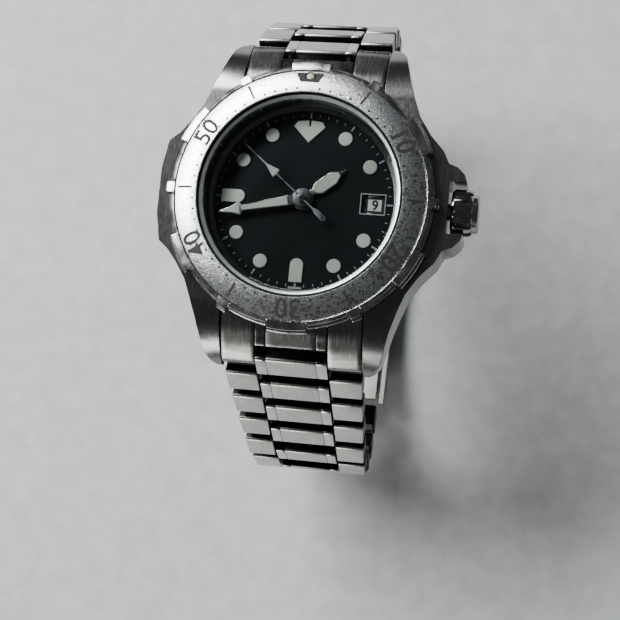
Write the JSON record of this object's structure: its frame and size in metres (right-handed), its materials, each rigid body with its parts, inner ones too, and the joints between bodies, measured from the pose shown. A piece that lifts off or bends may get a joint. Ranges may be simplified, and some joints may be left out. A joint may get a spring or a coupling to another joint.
{
  "type": "dive watch",
  "caption": "Steel diver's wristwatch: round case, turning timing bezel, screw crown, date, luminous hands and a three-column link bracelet with a folding clasp.",
  "frame": {"origin": "centre of the case back's outer face", "axes": "+Z out through the dial, +Y to 12 o'clock, +X to the crown"},
  "size_m": [0.045, 0.0698, 0.0557],
  "materials": {
    "brushed_steel": "brushed along the bracelet",
    "polished_steel": "polished",
    "engraved_insert": "satin, with an engraved scale",
    "crystal_glass": "clear, polished",
    "dark_rubber": "matt",
    "dial_black": "matt",
    "lume_cream": "luminous compound",
    "movement_brass": "satin",
    "holder_plastic": "moulded",
    "circuit_green": "solder mask",
    "coil_copper": "wound copper wire",
    "date_white": "printed"
  },
  "bodies": {
    "case": {"case_body": "brushed_steel", "crown_tube": "polished_steel", "case_back": "polished_steel", "case_back_gasket": "dark_rubber", "movement_holder": "holder_plastic", "crystal": "crystal_glass", "crystal_gasket": "dark_rubber", "rehaut_ring": "polished_steel", "dial": "dial_black", "bezel_gasket": "dark_rubber", "bezel_click_spring": "polished_steel", "main_plate": "movement_brass", "coil": "coil_copper", "stator": "brushed_steel", "battery": "polished_steel", "circuit_board": "circuit_green", "train_bridge": "brushed_steel", "end_link_12": "brushed_steel", "end_link_6": "brushed_steel", "spring_bar_12": "polished_steel", "spring_bar_6": "polished_steel"},
    "turning_bezel": {"bezel": "polished_steel", "bezel_insert": "engraved_insert", "bezel_pip": "lume_cream"},
    "setting_pinion": {"sliding_pinion": "polished_steel"},
    "crown_and_stem": {"crown": "polished_steel", "crown_stem": "polished_steel", "crown_gasket": "dark_rubber"},
    "minute_group": {"minute_hand": "polished_steel", "cannon_pinion": "movement_brass"},
    "hour_group": {"hour_hand": "polished_steel", "hour_wheel": "movement_brass"},
    "minute_wheel_body": {"minute_wheel": "movement_brass"},
    "date_drive_body": {"date_drive_wheel": "holder_plastic"},
    "date_ring_body": {"date_ring": "date_white"},
    "seconds_group": {"seconds_hand": "polished_steel", "fourth_wheel": "movement_brass"},
    "rotor_body": {"rotor": "brushed_steel"},
    "fifth_wheel_body": {"fifth_wheel": "movement_brass"},
    "third_wheel_body": {"third_wheel": "movement_brass"},
    "center_wheel_body": {"center_wheel": "movement_brass"},
    "link_12_1_body": {"link_12_1": "brushed_steel"},
    "link_12_2_body": {"link_12_2": "brushed_steel"},
    "link_12_3_body": {"link_12_3": "brushed_steel"},
    "link_12_4_body": {"link_12_4": "brushed_steel"},
    "link_12_5_body": {"link_12_5": "brushed_steel"},
    "link_12_6_body": {"link_12_6": "brushed_steel"},
    "link_12_7_body": {"link_12_7": "brushed_steel"},
    "link_6_1_body": {"link_6_1": "brushed_steel"},
    "link_6_2_body": {"link_6_2": "brushed_steel"},
    "link_6_3_body": {"link_6_3": "brushed_steel"},
    "link_6_4_body": {"link_6_4": "brushed_steel"},
    "link_6_5_body": {"link_6_5": "brushed_steel"},
    "link_6_6_body": {"link_6_6": "brushed_steel"},
    "link_6_7_body": {"link_6_7": "brushed_steel"},
    "link_6_8_body": {"link_6_8": "brushed_steel"},
    "clasp_inner_blade_body": {"clasp_inner_blade": "brushed_steel"},
    "clasp_middle_blade_body": {"clasp_middle_blade": "brushed_steel"},
    "clasp_cover_body": {"clasp_cover": "brushed_steel"},
    "safety_lock_body": {"safety_lock": "polished_steel"}
  },
  "joints": [
    {"name": "bezel_turn", "type": "hinge", "parent": "case", "child": "turning_bezel", "pos_m": [0, 0, 0.0087], "axis": [0, 0, 1], "continuous": true},
    {"name": "crown_turn", "type": "hinge", "parent": "case", "child": "setting_pinion", "pos_m": [0, 0, 0.0046], "axis": [1, 0, 0], "continuous": true},
    {"name": "crown_pull", "type": "slide", "parent": "setting_pinion", "child": "crown_and_stem", "axis": [1, 0, 0], "range_m": [0, 0.0024]},
    {"name": "minute_turn", "type": "hinge", "parent": "case", "child": "minute_group", "pos_m": [0, 0, 0.006], "axis": [0, 0, 1], "continuous": true},
    {"name": "hour_turn", "type": "hinge", "parent": "case", "child": "hour_group", "pos_m": [0, 0, 0.006], "axis": [0, 0, 1], "continuous": true},
    {"name": "minute_wheel_turn", "type": "hinge", "parent": "case", "child": "minute_wheel_body", "pos_m": [-0.00326, -0.00152, 0.0052], "axis": [0, 0, 1], "continuous": true},
    {"name": "date_drive_turn", "type": "hinge", "parent": "case", "child": "date_drive_body", "pos_m": [0.00124, 0.00464, 0.0056], "axis": [0, 0, 1], "continuous": true},
    {"name": "date_ring_turn", "type": "hinge", "parent": "case", "child": "date_ring_body", "pos_m": [0, 0, 0.0061], "axis": [0, 0, 1], "continuous": true},
    {"name": "seconds_turn", "type": "hinge", "parent": "case", "child": "seconds_group", "pos_m": [0, 0, 0.005], "axis": [0, 0, 1], "continuous": true},
    {"name": "fifth_wheel_turn", "type": "hinge", "parent": "case", "child": "fifth_wheel_body", "pos_m": [0.00241, 0.00202, 0.0034], "axis": [0, 0, 1], "continuous": true},
    {"name": "rotor_turn", "type": "hinge", "parent": "case", "child": "rotor_body", "pos_m": [0.00453, 0.00247, 0.0036], "axis": [0, 0, 1], "continuous": true},
    {"name": "third_wheel_turn", "type": "hinge", "parent": "case", "child": "third_wheel_body", "pos_m": [-0.00287, 0.00166, 0.0036], "axis": [0, 0, 1], "continuous": true},
    {"name": "center_wheel_turn", "type": "hinge", "parent": "case", "child": "center_wheel_body", "pos_m": [0, 0, 0.004], "axis": [0, 0, 1], "continuous": true},
    {"name": "link_12_1_pivot", "type": "hinge", "parent": "case", "child": "link_12_1_body", "pos_m": [0, 0.022, 0.0029], "axis": [1, 0, 0], "range_deg": [0, 45]},
    {"name": "link_12_2_pivot", "type": "hinge", "parent": "link_12_1_body", "child": "link_12_2_body", "pos_m": [0, 0.02586, -0.0017], "axis": [1, 0, 0], "range_deg": [0, 15]},
    {"name": "link_12_3_pivot", "type": "hinge", "parent": "link_12_2_body", "child": "link_12_3_body", "pos_m": [0, 0.02886, -0.00689], "axis": [1, 0, 0], "range_deg": [0, 17]},
    {"name": "link_12_4_pivot", "type": "hinge", "parent": "link_12_3_body", "child": "link_12_4_body", "pos_m": [0, 0.03071, -0.0126], "axis": [1, 0, 0], "range_deg": [0, 21]},
    {"name": "link_12_5_pivot", "type": "hinge", "parent": "link_12_4_body", "child": "link_12_5_body", "pos_m": [0, 0.03092, -0.0186], "axis": [1, 0, 0], "range_deg": [0, 23]},
    {"name": "link_12_6_pivot", "type": "hinge", "parent": "link_12_5_body", "child": "link_12_6_body", "pos_m": [0, 0.02927, -0.02436], "axis": [1, 0, 0], "range_deg": [0, 25]},
    {"name": "link_12_7_pivot", "type": "hinge", "parent": "link_12_6_body", "child": "link_12_7_body", "pos_m": [0, 0.02574, -0.02922], "axis": [1, 0, 0], "range_deg": [0, 25]},
    {"name": "link_6_1_pivot", "type": "hinge", "parent": "case", "child": "link_6_1_body", "pos_m": [0, -0.022, 0.0029], "axis": [-1, 0, 0], "range_deg": [0, 45]},
    {"name": "link_6_2_pivot", "type": "hinge", "parent": "link_6_1_body", "child": "link_6_2_body", "pos_m": [0, -0.025, -0.0023], "axis": [-1, 0, 0], "range_deg": [0, 10]},
    {"name": "link_6_3_pivot", "type": "hinge", "parent": "link_6_2_body", "child": "link_6_3_body", "pos_m": [0, -0.028, -0.00749], "axis": [-1, 0, 0], "range_deg": [0, 10]},
    {"name": "link_6_4_pivot", "type": "hinge", "parent": "link_6_3_body", "child": "link_6_4_body", "pos_m": [0, -0.031, -0.01269], "axis": [-1, 0, 0], "range_deg": [0, 10]},
    {"name": "link_6_5_pivot", "type": "hinge", "parent": "link_6_4_body", "child": "link_6_5_body", "pos_m": [0, -0.03391, -0.01794], "axis": [-1, 0, 0], "range_deg": [0, 16]},
    {"name": "link_6_6_pivot", "type": "hinge", "parent": "link_6_5_body", "child": "link_6_6_body", "pos_m": [0, -0.03576, -0.02364], "axis": [-1, 0, 0], "range_deg": [0, 29]},
    {"name": "link_6_7_pivot", "type": "hinge", "parent": "link_6_6_body", "child": "link_6_7_body", "pos_m": [0, -0.03514, -0.02961], "axis": [-1, 0, 0], "range_deg": [0, 31]},
    {"name": "link_6_8_pivot", "type": "hinge", "parent": "link_6_7_body", "child": "link_6_8_body", "pos_m": [0, -0.03196, -0.0347], "axis": [-1, 0, 0], "range_deg": [0, 29]},
    {"name": "inner_blade_pivot", "type": "hinge", "parent": "link_6_8_body", "child": "clasp_inner_blade_body", "pos_m": [0, -0.02698, -0.03805], "axis": [-1, 0, 0], "range_deg": [0, 30]},
    {"name": "middle_blade_fold", "type": "hinge", "parent": "clasp_inner_blade_body", "child": "clasp_middle_blade_body", "pos_m": [0, 0.01559, -0.03559], "axis": [1, 0, 0], "range_deg": [0, 130]},
    {"name": "cover_fold", "type": "hinge", "parent": "clasp_middle_blade_body", "child": "clasp_cover_body", "pos_m": [0, -0.02323, -0.04015], "axis": [-1, 0, 0], "range_deg": [0, 110]},
    {"name": "safety_lock_flip", "type": "hinge", "parent": "clasp_cover_body", "child": "safety_lock_body", "pos_m": [0, 0.01932, -0.0372], "axis": [1, 0, 0], "range_deg": [0, 110]}
  ],
  "couplings": [
    {"joint": "hour_turn", "follows": "minute_turn", "ratio": 0.083333},
    {"joint": "minute_wheel_turn", "follows": "minute_turn", "ratio": -0.33333},
    {"joint": "date_drive_turn", "follows": "minute_turn", "ratio": -0.041667},
    {"joint": "fifth_wheel_turn", "follows": "seconds_turn", "ratio": -6},
    {"joint": "rotor_turn", "follows": "seconds_turn", "ratio": 30},
    {"joint": "third_wheel_turn", "follows": "seconds_turn", "ratio": -0.13333},
    {"joint": "center_wheel_turn", "follows": "seconds_turn", "ratio": 0.016667}
  ]
}
